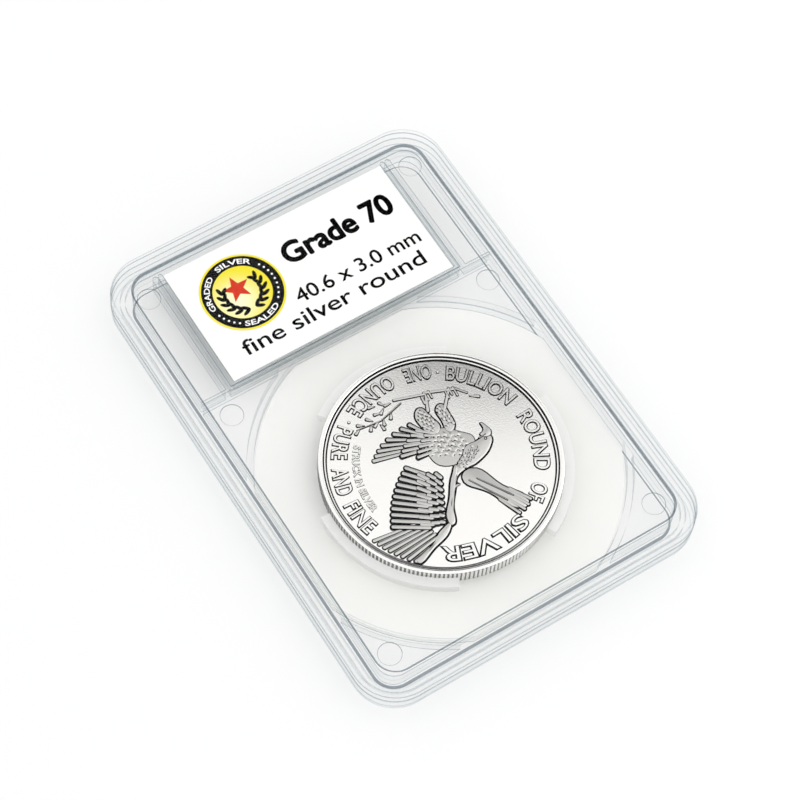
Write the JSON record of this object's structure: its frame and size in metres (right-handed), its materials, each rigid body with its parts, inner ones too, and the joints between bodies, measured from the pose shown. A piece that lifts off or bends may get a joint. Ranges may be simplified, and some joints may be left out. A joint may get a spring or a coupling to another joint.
{
  "type": "graded coin slab",
  "caption": "Clear rectangular two-shell slab with a raised rim that shows one round coin in a pronged holder, below a printed label card.",
  "frame": {"origin": "centre of the outline, on the plane that the back rim rests on", "axes": "+Z out of the front window, +Y along the slab towards the label, +X to the right of the label's print"},
  "size_m": [0.0644, 0.0904, 0.0072],
  "materials": {
    "clear_shell": "clear moulded polystyrene",
    "frosted_insert": "frosted translucent plastic",
    "struck_silver": "satin struck silver",
    "label_paper": "smooth printed card",
    "gold_foil": "bright gold foil"
  },
  "bodies": {
    "back_shell": {"back_shell": "clear_shell"},
    "front_shell": {"front_shell": "clear_shell"},
    "coin_holder": {"coin_holder": "frosted_insert"},
    "coin": {"coin": "struck_silver"},
    "label_card": {"label_card": "label_paper", "foil_seal": "gold_foil"}
  },
  "joints": [
    {"name": "front_shell_lift", "type": "slide", "parent": "back_shell", "child": "front_shell", "axis": [0, 0, 1], "range_m": [0, 0.03]},
    {"name": "coin_lift", "type": "slide", "parent": "back_shell", "child": "coin", "axis": [0, 0, 1], "range_m": [0, 0.018]},
    {"name": "coin_holder_lift", "type": "slide", "parent": "back_shell", "child": "coin_holder", "axis": [0, 0, 1], "range_m": [0, 0.009]},
    {"name": "label_card_lift", "type": "slide", "parent": "back_shell", "child": "label_card", "axis": [0, 0, 1], "range_m": [0, 0.015]}
  ],
  "couplings": [
    {"joint": "coin_lift", "follows": "front_shell_lift", "ratio": 0.6},
    {"joint": "coin_holder_lift", "follows": "front_shell_lift", "ratio": 0.3},
    {"joint": "label_card_lift", "follows": "front_shell_lift", "ratio": 0.5}
  ]
}
